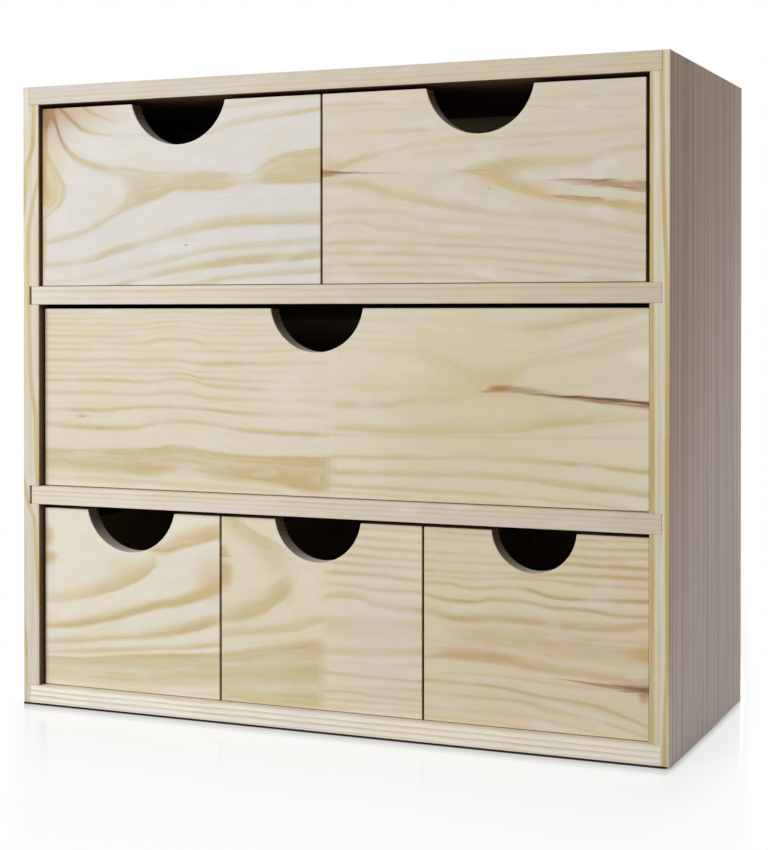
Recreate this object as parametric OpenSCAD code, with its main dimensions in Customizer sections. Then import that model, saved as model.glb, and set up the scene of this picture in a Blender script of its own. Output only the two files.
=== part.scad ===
// Small chest of six drawers for a table top, in unfinished pine.
// Three rows stand between two side boards: two drawers, one wide drawer, three drawers.
// The origin is the middle of the underside. The front faces -Y and +Z is up.

/* [Case] */
// Width of the case over its two side boards
case_w = 330; // [290:1:400]
// Depth of the case from its front edge to the rear face of the back panel
case_d = 145; // [120:1:220]
// Thickness of the side boards
side_t = 9; // [8:0.5:14]
// Thickness of the top board
top_t = 9; // [8:0.5:14]
// Thickness of the bottom board
bottom_t = 9; // [8:0.5:14]
// Thickness of the two shelves between the rows
shelf_t = 9; // [7:0.5:12]
// How deep the boards' ends are let into the sides
housing = 5.5; // [3:0.25:6.5]
// Gap that is left at the left end of each shelf, in its housing
shelf_end_gap = 1.2; // [0:0.1:2]

/* [Rows] */
// Clear height of the top row
top_row_h = 90.7; // [60:0.1:120]
// Clear height of the middle row
middle_row_h = 90.7; // [60:0.1:120]
// Clear height of the bottom row
bottom_row_h = 90.7; // [60:0.1:120]

/* [Back panel] */
// Thickness of the plywood back panel
back_t = 3; // [2:0.25:5]
// How far the back panel laps onto each board round it
back_lap = 5.5; // [3:0.25:6.5]
// Diameter of the pins that hold the back panel
pin_d = 1.2; // [0.8:0.1:1.8]
// Length of these pins over their heads
pin_l = 12; // [8:0.5:20]
// Diameter of a pin's head
pin_head_d = 2.4; // [2:0.1:3]
// Thickness of a pin's head, which lies flush in the back panel
pin_head_t = 0.8; // [0.4:0.1:1.2]
// Number of pins in each board that lies across the back
pins_across = 3; // [2:1:5]
// Distance from the inner face of a side to the first pin beside it
pin_inset = 30; // [15:1:60]

/* [Drawer boxes] */
// Thickness of the drawer fronts
front_t = 9; // [8:0.5:14]
// Thickness of the drawers' side boards
box_side_t = 7; // [5:0.5:9]
// Thickness of the drawers' back boards
box_back_t = 7; // [5:0.5:9]
// Thickness of the drawers' plywood bottoms
box_bottom_t = 3; // [2:0.25:5]
// Depth of the groove that holds a drawer's bottom
groove = 3; // [2:0.25:4]
// Height of that groove above the drawer's lower edge
groove_up = 4; // [3:0.5:8]
// How deep the side boards are let into the back of a drawer front
front_lap = 4.5; // [3:0.25:5.5]
// How far the drawers' sides and backs stay below the top edge of the front
box_drop = 8; // [2:0.5:20]

/* [Top drawers] */
// Width of the left front in the top row
top_left_w = 153.6; // [130:0.1:175]
// How far the top row's fronts stand back from the front edge of the case
top_recess = 2; // [0:0.5:8]
// Width of the top row's finger notches along the top edge
top_notch_w = 51.3; // [40:0.1:60]
// Depth of the left drawer's finger notch
top_left_notch_h = 20.5; // [15:0.1:25]
// Depth of the right drawer's finger notch
top_right_notch_h = 21.4; // [15:0.1:25]
// How far the top row's notches lie to the right of their drawers' middles
top_notch_right = 0.6; // [0:0.1:5]

/* [Middle drawer] */
// How far the middle row's front stands back from the front edge of the case
middle_recess = 4; // [0:0.5:8]
// Width of the middle drawer's finger notch along the top edge
middle_notch_w = 47.7; // [40:0.1:60]
// Depth of the middle drawer's finger notch
middle_notch_h = 20.7; // [15:0.1:23]
// How far that notch lies to the left of the drawer's middle
middle_notch_left = 4.6; // [0:0.1:10]

/* [Bottom drawers] */
// Width of the left front in the bottom row
bottom_left_w = 99.1; // [85:0.1:115]
// Width of the middle front in the bottom row
bottom_middle_w = 103.7; // [85:0.1:115]
// How far the bottom row's fronts stand back from the front edge of the case
bottom_recess = 4; // [0:0.5:8]
// Width of the left drawer's finger notch along the top edge
bottom_left_notch_w = 49; // [40:0.1:55]
// Depth of the left drawer's finger notch
bottom_left_notch_h = 20; // [15:0.1:21]
// Width of the middle drawer's finger notch along the top edge
bottom_middle_notch_w = 44.2; // [40:0.1:55]
// Depth of the middle drawer's finger notch
bottom_middle_notch_h = 19.4; // [15:0.1:21]
// How far that notch lies to the left of the drawer's middle
bottom_middle_notch_left = 1; // [0:0.1:10]
// Width of the right drawer's finger notch along the top edge
bottom_right_notch_w = 39.6; // [36:0.1:55]
// Depth of the right drawer's finger notch
bottom_right_notch_h = 18.4; // [14:0.1:19]

/* [Clearances] */
// Running gap under each drawer
glide_gap = 0.3; // [0.1:0.1:1]
// Gap over each drawer front
over_gap = 2; // [1:0.1:4]
// Gap between a drawer and the side of the case
side_gap = 1; // [0.5:0.1:2]
// Wider gap at the right end of the top row
top_right_gap = 2; // [0.5:0.1:3]
// Gap between two drawers in a row
seam = 1; // [0.5:0.1:2]
// Gap between a closed drawer and the back panel that stops it
stop_gap = 0.3; // [0.1:0.1:1]
// Radial clearance round a pin
pin_fit = 0.05; // [0.02:0.01:0.1]

/* [Hidden] */
$fn = 96;

// Cuts run this far past the surfaces they open
past = 1;

inner_w = case_w - 2 * side_t;
inner_x = inner_w / 2;
case_x = case_w / 2;
front_y = -case_d / 2;
rear_y = case_d / 2;
back_y = rear_y - back_t;

// Undersides of the boards that lie across, from the bottom up
bottom_z = 0;
lower_shelf_z = bottom_t + bottom_row_h;
upper_shelf_z = lower_shelf_z + shelf_t + middle_row_h;
top_z = upper_shelf_z + shelf_t + top_row_h;
case_h = top_z + top_t;

// Floors of the three rows
bottom_floor = bottom_t;
middle_floor = lower_shelf_z + shelf_t;
top_floor = upper_shelf_z + shelf_t;

top_right_w = inner_w - side_gap - top_left_w - seam - top_right_gap;
middle_w = inner_w - 2 * side_gap;
bottom_right_w = middle_w - bottom_left_w - bottom_middle_w - 2 * seam;
left_x = -inner_x + side_gap;
bottom_middle_x = left_x + bottom_left_w + seam;

// Each drawer: name, left edge, width, floor of its row, row height, recess,
// notch width, notch depth and how far the notch lies left of the middle
DRAWERS = [
    ["top_left", left_x, top_left_w, top_floor, top_row_h, top_recess,
        top_notch_w, top_left_notch_h, -top_notch_right],
    ["top_right", left_x + top_left_w + seam, top_right_w, top_floor, top_row_h, top_recess,
        top_notch_w, top_right_notch_h, -top_notch_right],
    ["middle", left_x, middle_w, middle_floor, middle_row_h, middle_recess,
        middle_notch_w, middle_notch_h, middle_notch_left],
    ["bottom_left", left_x, bottom_left_w, bottom_floor, bottom_row_h, bottom_recess,
        bottom_left_notch_w, bottom_left_notch_h, 0],
    ["bottom_middle", bottom_middle_x, bottom_middle_w, bottom_floor, bottom_row_h, bottom_recess,
        bottom_middle_notch_w, bottom_middle_notch_h, bottom_middle_notch_left],
    ["bottom_right", bottom_middle_x + bottom_middle_w + seam, bottom_right_w, bottom_floor,
        bottom_row_h, bottom_recess, bottom_right_notch_w, bottom_right_notch_h, 0]
];
function drawer_name(d) = d[0];
function drawer_x(d) = d[1];
function drawer_w(d) = d[2];
function drawer_z(d) = d[3] + glide_gap;
function front_h(d) = d[4] - glide_gap - over_gap;
function drawer_y(d) = front_y + d[5];
function box_top(d) = drawer_z(d) + front_h(d) - box_drop;
function box_rear(d) = back_y - stop_gap;
function box_front(d) = drawer_y(d) + front_t - front_lap;
function groove_z(d) = drawer_z(d) + groove_up;
function notch_r(w, h) = (w * w / 4 + h * h) / (2 * h);

BOX_PIECES = ["front", "left_side", "right_side", "back", "bottom"];
CASE_PIECES = ["left_side", "right_side", "top_panel", "bottom_panel", "upper_shelf",
    "lower_shelf", "back_panel", "back_pins"];
function piece_name(d, piece) = str(drawer_name(d), "_drawer_", piece);

// Places of the pins as [x, z]: one in each side beside every row, and a line in each board across
row_middles = [bottom_floor + bottom_row_h / 2, middle_floor + middle_row_h / 2,
    top_floor + top_row_h / 2];
side_pin_x = inner_x + back_lap / 2;
across_z = [bottom_t - back_lap / 2, lower_shelf_z + shelf_t / 2, upper_shelf_z + shelf_t / 2,
    top_z + back_lap / 2];
pin_step = (inner_w - 2 * pin_inset) / (pins_across - 1);
across_x = [for (i = [0 : pins_across - 1]) -inner_x + pin_inset + i * pin_step];
PINS = concat([for (z = row_middles) for (x = [-side_pin_x, side_pin_x]) [x, z]],
    [for (z = across_z) for (x = across_x) [x, z]]);

// A board from its lowest to its highest corner
module board(low, high) {
    translate(low) cube(high - low);
}

// Round bars that run forward from the rear face at every pin
module pin_bars(radius, start, length) {
    for (p = PINS) {
        translate([p[0], rear_y - start, p[1]]) rotate([90, 0, 0]) cylinder(r = radius, h = length);
    }
}

// The holes that the pins need, heads included
module pin_holes() {
    pin_bars(pin_head_d / 2 + pin_fit, -past, pin_head_t + past);
    pin_bars(pin_d / 2 + pin_fit, 0, pin_l + pin_fit);
}

// Where the back panel lies
module back_recess(extra) {
    board([-inner_x - back_lap, back_y, bottom_t - back_lap],
        [inner_x + back_lap, rear_y + extra, top_z + back_lap]);
}

// A cut across the inner face of the left side for the end of one board
module housing_cut(low_z, high_z) {
    board([-inner_x - housing, front_y - past, low_z], [-inner_x + past, rear_y + past, high_z]);
}

module left_side() {
    color("#d3bd95") difference() {
        board([-case_x, front_y, bottom_z], [-inner_x, rear_y, case_h]);
        housing_cut(bottom_z - past, bottom_t);
        housing_cut(lower_shelf_z, lower_shelf_z + shelf_t);
        housing_cut(upper_shelf_z, upper_shelf_z + shelf_t);
        housing_cut(top_z, case_h + past);
        back_recess(past);
        pin_holes();
    }
}

module right_side() {
    mirror([1, 0, 0]) left_side();
}

// The top and bottom boards reach into both sides and carry the edges of the back panel
module end_board(low_z, high_z) {
    difference() {
        board([-inner_x - housing, front_y, low_z], [inner_x + housing, rear_y, high_z]);
        back_recess(past);
        pin_holes();
    }
}

module top_panel() {
    color("#e3d3b0") end_board(top_z, case_h);
}

module bottom_panel() {
    color("#e3d3b0") end_board(bottom_z, bottom_t);
}

module shelf(low_z) {
    color("#decbab") difference() {
        board([-inner_x - housing + shelf_end_gap, front_y, low_z],
            [inner_x + housing, back_y, low_z + shelf_t]);
        pin_holes();
    }
}

module upper_shelf() {
    shelf(upper_shelf_z);
}

module lower_shelf() {
    shelf(lower_shelf_z);
}

module back_panel() {
    color("#cdb48a") difference() {
        back_recess(0);
        pin_holes();
    }
}

module back_pins() {
    color("#8f9296") {
        for (p = PINS) {
            translate([p[0], rear_y, p[1]]) rotate([90, 0, 0]) {
                cylinder(d = pin_head_d, h = pin_head_t);
                cylinder(d = pin_d, h = pin_l);
            }
        }
    }
}

// The arc of the notch passes through both of its ends on the top edge
module finger_notch(d) {
    radius = notch_r(d[6], d[7]);
    centre_x = drawer_x(d) + drawer_w(d) / 2 - d[8];
    centre_z = drawer_z(d) + front_h(d) - d[7] + radius;
    translate([centre_x, drawer_y(d) - past, centre_z])
        rotate([-90, 0, 0]) cylinder(r = radius, h = front_t + 2 * past);
}

// The ply bottom lies in grooves in the front and both sides, and runs out under the back
module bottom_sheet(d, front_extra, rear_extra) {
    board([drawer_x(d) + box_side_t - groove, drawer_y(d) + front_t - groove - front_extra, groove_z(d)],
        [drawer_x(d) + drawer_w(d) - box_side_t + groove, box_rear(d) + rear_extra,
            groove_z(d) + box_bottom_t]);
}

module drawer_front(d) {
    right_x = drawer_x(d) + drawer_w(d);
    inside_y = drawer_y(d) + front_t;
    color("#e8dabb") difference() {
        board([drawer_x(d), drawer_y(d), drawer_z(d)],
            [right_x, inside_y, drawer_z(d) + front_h(d)]);
        for (x = [drawer_x(d) - past, right_x - box_side_t]) {
            board([x, box_front(d), drawer_z(d) - past],
                [x + box_side_t + past, inside_y + past, box_top(d)]);
        }
        bottom_sheet(d, 0, 0);
        finger_notch(d);
    }
}

module drawer_side(d, x) {
    color("#e0cfa9") difference() {
        board([x, box_front(d), drawer_z(d)], [x + box_side_t, box_rear(d), box_top(d)]);
        bottom_sheet(d, front_lap + past, past);
    }
}

module drawer_back(d) {
    color("#dccaa3") board(
        [drawer_x(d) + box_side_t, box_rear(d) - box_back_t, groove_z(d) + box_bottom_t],
        [drawer_x(d) + drawer_w(d) - box_side_t, box_rear(d), box_top(d)]);
}

module drawer_bottom(d) {
    color("#cdb48a") bottom_sheet(d, 0, 0);
}

module drawer_piece(d, piece) {
    if (piece == "front") drawer_front(d);
    if (piece == "left_side") drawer_side(d, drawer_x(d));
    if (piece == "right_side") drawer_side(d, drawer_x(d) + drawer_w(d) - box_side_t);
    if (piece == "back") drawer_back(d);
    if (piece == "bottom") drawer_bottom(d);
}

left_side();
right_side();
top_panel();
bottom_panel();
upper_shelf();
lower_shelf();
back_panel();
back_pins();
for (d = DRAWERS) {
    for (piece = BOX_PIECES) {
        drawer_piece(d, piece);
    }
}
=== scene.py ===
# %% [markdown]
# # A tabletop chest of six drawers in bare pine
#
# The real chest is a small case of pine boards in which six loose drawers slide like boxes.
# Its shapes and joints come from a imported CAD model, which is loaded first as a fixed frame.
# Blender adds what the CAD model can't hold: softened edges, the wood itself, the light and the camera.

# %% Load the frame
import math

import bmesh
import bpy
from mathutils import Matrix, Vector


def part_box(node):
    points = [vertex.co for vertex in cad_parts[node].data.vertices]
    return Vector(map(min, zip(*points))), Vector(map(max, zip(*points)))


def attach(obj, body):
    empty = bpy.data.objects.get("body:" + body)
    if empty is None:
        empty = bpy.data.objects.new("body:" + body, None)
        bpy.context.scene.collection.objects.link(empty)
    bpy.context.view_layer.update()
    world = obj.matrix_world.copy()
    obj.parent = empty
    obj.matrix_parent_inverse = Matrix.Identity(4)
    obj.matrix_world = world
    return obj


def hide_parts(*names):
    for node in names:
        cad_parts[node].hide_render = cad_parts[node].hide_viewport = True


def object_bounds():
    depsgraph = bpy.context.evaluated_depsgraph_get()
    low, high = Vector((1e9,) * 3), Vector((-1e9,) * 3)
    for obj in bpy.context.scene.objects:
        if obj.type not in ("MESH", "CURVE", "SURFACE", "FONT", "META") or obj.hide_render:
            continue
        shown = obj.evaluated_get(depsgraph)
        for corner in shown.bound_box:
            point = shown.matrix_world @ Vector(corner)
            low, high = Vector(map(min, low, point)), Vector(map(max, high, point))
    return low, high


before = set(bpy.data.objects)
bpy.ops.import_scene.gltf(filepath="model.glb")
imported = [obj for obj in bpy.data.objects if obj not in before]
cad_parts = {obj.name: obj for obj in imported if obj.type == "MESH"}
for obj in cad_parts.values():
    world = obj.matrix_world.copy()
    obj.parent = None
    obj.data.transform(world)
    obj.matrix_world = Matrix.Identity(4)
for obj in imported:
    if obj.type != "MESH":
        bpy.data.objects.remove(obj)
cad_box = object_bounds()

mm = 0.001
print("CAD box in mm:", [[round(value / mm, 1) for value in corner] for corner in cad_box])

# %% [markdown]
# ## The camera
#
# The chest is seen from the front right with a long lens, almost level, so its upright edges stay upright.
# The picture shows more floor than sky, and the lens is shifted down instead of tilting the camera.
# Place, turn and lens were found by asking where six corners of the case fall in a picture of 768 by 850.

# %% Camera
picture_height = 850
sensor = 36.0
focal_pixels = 1786.2
camera_place = (0.3545, -0.8239, 0.1948)
camera_turn = math.radians(23.25)
camera_dip = math.radians(0.5)
lens_shift = -0.1125
nearest_seen = 0.01

lens = bpy.data.cameras.new("camera")
lens.sensor_width = sensor
lens.lens = sensor * focal_pixels / picture_height
lens.shift_y = lens_shift
lens.clip_start = nearest_seen
camera = bpy.data.objects.new("camera", lens)
camera.location = camera_place
camera.rotation_euler = (math.pi / 2 - camera_dip, 0, camera_turn)
bpy.context.scene.collection.objects.link(camera)
bpy.context.scene.camera = camera
bpy.context.scene.view_settings.view_transform = "Standard"
print("lens in mm:", round(lens.lens, 2))

# %% [markdown]
# ## Sums with sockets
#
# A procedural wood needs hundreds of small sums, and as separate node calls they can't be read.
# One small class wraps a node's output, so that a plain Python expression adds the Math nodes.
# Every other node comes from one method: its type, its settings, which are set first, and its sockets.

# %% A value that Python can do sums with
class Value:
    """The output of a node. Sums with it add Math nodes to the same finish."""

    def __init__(self, finish, socket):
        self.finish = finish
        self.socket = socket

    def math(self, operation, *numbers, clamp=False):
        settings = {"operation": operation, "use_clamp": clamp}
        return self.finish.node("ShaderNodeMath", settings, numbers)

    def __add__(self, other):
        return self.math("ADD", self, other)

    def __radd__(self, other):
        return self.math("ADD", other, self)

    def __sub__(self, other):
        return self.math("SUBTRACT", self, other)

    def __rsub__(self, other):
        return self.math("SUBTRACT", other, self)

    def __mul__(self, other):
        return self.math("MULTIPLY", self, other)

    def __rmul__(self, other):
        return self.math("MULTIPLY", other, self)

    def __truediv__(self, other):
        return self.math("DIVIDE", self, other)

    def __rtruediv__(self, other):
        return self.math("DIVIDE", other, self)

    def __neg__(self):
        return self.math("MULTIPLY", self, -1.0)

    def __abs__(self):
        return self.math("ABSOLUTE", self)

    def root(self):
        return self.math("SQRT", self)

    def at_most(self, other):
        return self.math("MINIMUM", self, other)

    def at_least(self, other):
        return self.math("MAXIMUM", self, other)

    def step(self, start, end):
        """0 before start and 1 after end, softly in between. start may be the larger one."""
        sockets = {"Value": self, "From Min": start, "From Max": end}
        return self.finish.node("ShaderNodeMapRange", {"interpolation_type": "SMOOTHSTEP"}, sockets)

    def part_of(self, whole):
        """self / whole, held between 0 and 1."""
        return self.math("DIVIDE", self, whole, clamp=True)


# %% A finish that collects nodes
plain, rich = 1.0, 3.0  # layers of detail in a noise


def lay_points(curve, points):
    """Puts a smooth curve through points whose coordinates run from 0 to 1."""
    while len(curve.points) < len(points):
        curve.points.new(0.5, 0.5)
    for handle, place in zip(curve.points, points):
        handle.location = place
        handle.handle_type = "AUTO_CLAMPED"


class Finish:
    """A material or world under construction: node() adds any node and returns one of its outputs."""

    def __init__(self, owner):
        owner.use_nodes = True
        self.owner = owner
        self.nodes = owner.node_tree.nodes
        self.links = owner.node_tree.links
        self.nodes.clear()

    def node(self, kind, settings=None, sockets=(), output=0):
        """Adds a node. Its settings are set first, and then its sockets take numbers, colours or links."""
        node = self.nodes.new(kind)
        for name, value in (settings or {}).items():
            if name == "curve":
                lay_points(node.mapping.curves[0], value)
                node.mapping.update()
            else:
                setattr(node, name, value)
        pairs = sockets.items() if isinstance(sockets, dict) else enumerate(sockets)
        for name, value in pairs:
            if isinstance(value, Value):
                self.links.new(value.socket, node.inputs[name])
            else:
                node.inputs[name].default_value = value
        return Value(self, node.outputs[output]) if node.outputs else None

    def mixed(self, under, over, amount):
        """Lays colour over on colour under by amount. A Mix node's colours are its sockets 6 and 7."""
        settings = {"data_type": "RGBA", "clamp_factor": True}
        return self.node("ShaderNodeMix", settings, {0: amount, 6: under, 7: over}, output=2)

    def scaled(self, colour, share):
        return self.node("ShaderNodeVectorMath", {"operation": "SCALE"}, {0: colour, "Scale": share})

    def noise(self, place, size, detail=2.0, roughness=0.5):
        """Soft random values round 0.5, with blots of size mm along, across and deep."""
        steps = [way / length for way, length in zip(place, size)]
        vector = self.node("ShaderNodeCombineXYZ", None, steps)
        sockets = {"Vector": vector, "Scale": 1.0, "Detail": detail, "Roughness": roughness}
        return self.node("ShaderNodeTexNoise", None, sockets)

    def rays(self, *kinds):
        """1 for a light ray of one of these kinds, and 0 for any other."""
        found = [self.node("ShaderNodeLightPath", None, (), output=kind) for kind in kinds]
        seen = found[0]
        for other in found[1:]:
            seen = seen.at_least(other)
        return seen

    def mix_shaders(self, amount, under, over):
        return self.node("ShaderNodeMixShader", None, {0: amount, 1: under, 2: over})

    def surface(self, shader, kind="Material"):
        """Makes shader the outcome, and returns the finished material or world."""
        self.node("ShaderNodeOutput" + kind, None, {"Surface": shader})
        return self.owner


# %% Paint mixed
def paint(red, green, blue):
    """A colour as seen on a screen, 0 to 255, as the linear values that a shader takes."""
    def linear(value):
        value = value / 255
        return value / 12.92 if value <= 0.04045 else ((value + 0.055) / 1.055) ** 2.4
    return (linear(red), linear(green), linear(blue), 1.0)


print("mid grey, linear:", [round(value, 3) for value in paint(128, 128, 128)])

# %% [markdown]
# ## Grain space
#
# Each board is sawn along its grain, so its wood is described in three lengths in millimetres:
# along the grain, across it on the broad face, and deep into the board.
# A Mapping node turns the Object coordinates into these three, and the wood stays fixed to the board.

# %% Where a point lies in its board
def grain_space(finish, corner, turn, sign):
    """Along, across and deep in mm. turn names the object axes, sign turns each, corner is in metres."""
    object_place = finish.node("ShaderNodeTexCoord", None, (), output="Object")
    scale = [value / mm for value in sign]
    offset = [-value * place / mm for value, place in zip(sign, corner)]
    sockets = {"Vector": object_place, "Location": offset, "Scale": scale}
    place = finish.node("ShaderNodeMapping", {"vector_type": "POINT"}, sockets)
    return [finish.node("ShaderNodeSeparateXYZ", None, (place,), output=axis) for axis in turn]


# %% [markdown]
# ## Growth lines
#
# The figure on a pine board is a map of its growth rings: pale spring wood that darkens to a tan line
# and then stops short where the next year begins. On a board's face a ring is a long wavering line,
# so each line is given here by a few places it passes, in mm from the board's left end and from its
# top edge. It also has the width over which its tan fades above and below, and its strength.
# A Float Curve joins the places smoothly. Lines that the saw met end-on are given upright, as arcs.

# %% Curves through a few places
def follow(finish, along, places, reach):
    """A smooth curve through places, given as {along: value}, or a plain number as it is."""
    if isinstance(places, (int, float)):
        return float(places)
    first, last = min(places), max(places)
    low = min(places.values())
    span = max(max(places.values()) - low, reach)
    points = [((x - first) / (last - first), (y - low) / span) for x, y in places.items()]
    sockets = {"Value": along, "From Min": first, "From Max": last}
    position = finish.node("ShaderNodeMapRange", None, sockets)
    height = finish.node("ShaderNodeFloatCurve", {"curve": points}, {"Value": position})
    return height * span + low


# %% Dark wood round the lines of one board
tiny = 0.001
narrowest_gap = 0.3
above_start, above_full = -1.35, -0.1  # in fade widths above the line
below_end, below_more, below_full = 2.0, 0.7, -0.2  # in fade widths below it, and then in mm
haze, haze_start, haze_reach = 0.3, -1.5, 1.6


def line_mask(finish, distance, along, above, below, strength):
    """How dark a line makes a point that lies distance below it, with a faint haze round the line."""
    above = follow(finish, along, above, tiny)
    below = follow(finish, along, below, tiny)
    darker = distance.step(above * above_start, above * above_full)
    lit_share = distance.step(below * below_end + below_more, below_full)
    haze_before = distance.step(above * haze_start - haze_reach, 0.0)
    haze_after = distance.step(below + haze_reach, 0.0)
    body = (darker * lit_share).at_least(haze_before * haze_after * haze)
    return body * follow(finish, along, strength, tiny)


def growth(finish, along, across, lines, arcs):
    """The dark-wood strength, and the height across the board counted along its lines."""
    middles = [sum(places.values()) / len(places) for places, *_ in lines]
    height = follow(finish, along, lines[0][0], tiny)
    distance = across - height
    flow = distance.at_most(0.0)
    dark = None
    for number, (places, above, below, strength) in enumerate(lines):
        mask = line_mask(finish, distance, along, above, below, strength)
        dark = mask if dark is None else dark.at_least(mask)
        if number + 1 < len(lines):
            next_height = follow(finish, along, lines[number + 1][0], tiny)
            gap = (next_height - height).at_least(narrowest_gap)
            flow = flow + distance.part_of(gap) * (middles[number + 1] - middles[number])
            height = next_height
            distance = across - height
        else:
            flow = flow + distance.at_least(0.0)
    for places, left, right, strength in arcs:
        distance = along - follow(finish, across, places, tiny)
        dark = dark.at_least(line_mask(finish, distance, across, left, right, strength))
    return dark, flow


# %% [markdown]
# ## Colours of bare pine
#
# Unfinished pine is cream in its spring wood and tan in its summer wood. Resin makes it golden to
# orange, and near a knot the fibres turn brown or rosy. These are the colours in plain light.

# %% Wood colours
stains = {
    "gold": paint(186, 158, 104),
    "tan": paint(180, 148, 106),
    "straw": paint(204, 190, 142),
    "deep_straw": paint(192, 174, 132),
    "pink": paint(208, 192, 182),
    "cream": paint(226, 218, 205),
    "lilac": paint(212, 206, 204),
    "grey": paint(130, 126, 120),
    "rose": paint(194, 168, 148),
    "rose_brown": paint(152, 120, 84),
    "brown": paint(150, 110, 62),
    "corner_brown": paint(118, 82, 38),
    "orange": paint(170, 124, 62),
    "dark": paint(92, 60, 34),
    "knot": paint(152, 104, 36),
    "vein": paint(180, 156, 96),
    "ring_brown": paint(118, 84, 38),
}
ring_stains = {"ring_brown"}
patch_size = (24, 6, 8)
patch_detail = 2.5
lilac_full, lilac_share = 0.72, 0.35
straw_full, straw_share = 0.28, 0.25
streak_rim, streak_core = 1.15, 0.25
blunt_to_thin = (0.0, 0.15), (1.0, 0.2)  # where it comes up and where it fades, as shares of its length
thin_to_blunt = (0.0, 0.5), (1.1, 0.85)
spot_rag, streak_rag = 0.5, 1.4
ring_share, ring_rest = 0.9, 0.2


def mottled(finish, colour, along, across, deep, amount=1.0):
    """Lays the soft rosy and straw-coloured patches of bare pine over a colour."""
    patches = finish.noise((along, across, deep), patch_size, patch_detail)
    rosy = patches.step(0.5, lilac_full) * (lilac_share * amount)
    yellow = patches.step(0.5, straw_full) * (straw_share * amount)
    return finish.mixed(finish.mixed(colour, stains["lilac"], rosy), stains["straw"], yellow)


def spot(finish, along, across, centre, radii, softness, ragged):
    """1 inside an oval and 0 outside it."""
    x = (along - centre[0]) / radii[0]
    y = (across - centre[1]) / radii[1]
    distance = (x * x + y * y).root()
    return (distance + ragged).step(1.0, 1.0 - softness)


def streak(finish, along, across, start, end, width_start, width_end, ragged):
    """1 on a thin streak from start to end, which widens or narrows and fades slowly at its thin end."""
    way = (along - start[0]) / (end[0] - start[0])
    held = way.at_least(0.0).at_most(1.0)
    middle = held * (end[1] - start[1]) + start[1]
    width = held * (width_end - width_start) + width_start
    body = (abs(across - middle) / width + ragged).step(streak_rim, streak_core)
    head, tail = blunt_to_thin if width_end < width_start else thin_to_blunt
    return body * way.step(*head) * way.step(*tail)


# %% [markdown]
# ## The figures of the six fronts
#
# Places are in mm: along from the left end, and down from the top edge. A line has its places as
# {along: down}, an upright arc as {down: along}. Then come the widths over which it fades on its two
# sides and its strength, 0 to 1, each a number or a curve of its own. Spots are ovals of stain with a
# centre, radii, softness and strength. Streaks are thin strips from one place to another, with a half
# width at either end. Each is laid over those before it, and "late" is the summer wood.

# %% A list of the figures
# Each front's spring and summer colours hold painted shade as well as its own tone: the top row and the
# right-hand fronts are made darker for how the light falls on them.
figures = {}


def add_figure(row, **figure):
    """Keeps what is drawn on one front, and says how much that is."""
    figures[row] = figure
    print(row, "front:", {kind: len(marks) for kind, marks in figure.items() if type(marks) is list})


# %% The figure of the top left front
lines = [
    ({0: -26, 10: -14, 24: 0, 36: 6, 42: 7.5, 60: 7, 104: 4, 154: 0}, 1.6, 0.6, {0: 0.9, 30: 0.8,
     55: 0.12, 104: 0.35, 154: 0.3}),
    ({0: -14, 10.6: 0, 15: 4.5, 20: 8.8, 24: 11.4, 30: 13, 40: 14.6, 60: 15.5, 90: 16, 110: 11.5, 154: 7},
     {0: 2, 60: 1.2, 95: 3, 154: 2}, 0.6, {0: 1, 22: 0.9, 35: 0.45, 60: 0.3, 154: 0.55}),
    ({0: -8, 3.6: 0, 6.6: 4.5, 11: 15.5, 14: 20, 19: 24.4, 29: 28.8, 40: 31.2, 50: 32, 62: 34, 90: 35,
     103: 36.5, 112: 36.6, 130: 29, 140: 27, 154: 25.3}, {0: 4, 20: 1.9, 40: 2.2, 154: 1}, {0: 1.6,
     25: 1.6, 45: 3, 56: 9, 75: 8, 100: 5.5, 154: 6}, {0: 1, 14: 1, 28: 0.75, 62: 0.38, 100: 0.5,
     113: 0.2, 124: 0.5, 154: 0.75}),
    ({0: 67.3, 10: 66, 20: 63.5, 30: 60, 45: 52.4, 50: 50.6, 70: 44.8, 77: 42.2, 100: 42, 120: 40,
     154: 40.2}, {0: 2.6, 30: 3, 45: 4, 55: 12, 70: 9, 80: 6, 100: 5.5, 115: 4, 130: 12, 154: 15}, 0.8,
     {0: 0.35, 20: 0.4, 40: 0.6, 100: 0.7, 114: 0.35, 125: 0.7, 154: 0.85}),
    ({0: 79, 20: 77.4, 30: 75.5, 40: 72.5, 50: 70.3, 90: 62, 100: 60.8, 115: 60, 154: 59.6}, {0: 2.4,
     60: 3.5, 80: 5, 154: 6}, 0.7, {0: 0.4, 20: 0.45, 35: 0.65, 50: 0.6, 65: 0.35, 85: 0.42, 105: 0.6,
     154: 0.6}),
    ({0: 87.5, 20: 85.8, 50: 80.4, 60: 79, 90: 73, 100: 71.6, 154: 68.8}, {0: 2, 60: 3, 154: 3}, 0.7,
     {0: 0.2, 40: 0.22, 110: 0.45, 154: 0.3}),
    ({0: 96, 40: 89.4, 60: 84.8, 70: 83, 110: 78.2, 130: 77.2, 154: 75.4}, {0: 2, 50: 2.4, 110: 4,
     154: 4}, 0.6, {0: 0.3, 50: 0.55, 80: 0.6, 125: 0.95, 154: 0.75}),
    ({0: 103, 40: 97, 75: 90, 90: 88.4, 100: 86.5, 130: 83.8, 154: 82.6}, 2.6, 0.6, {0: 0.3, 90: 0.4,
     110: 0.5, 154: 0.5}),
]
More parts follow.
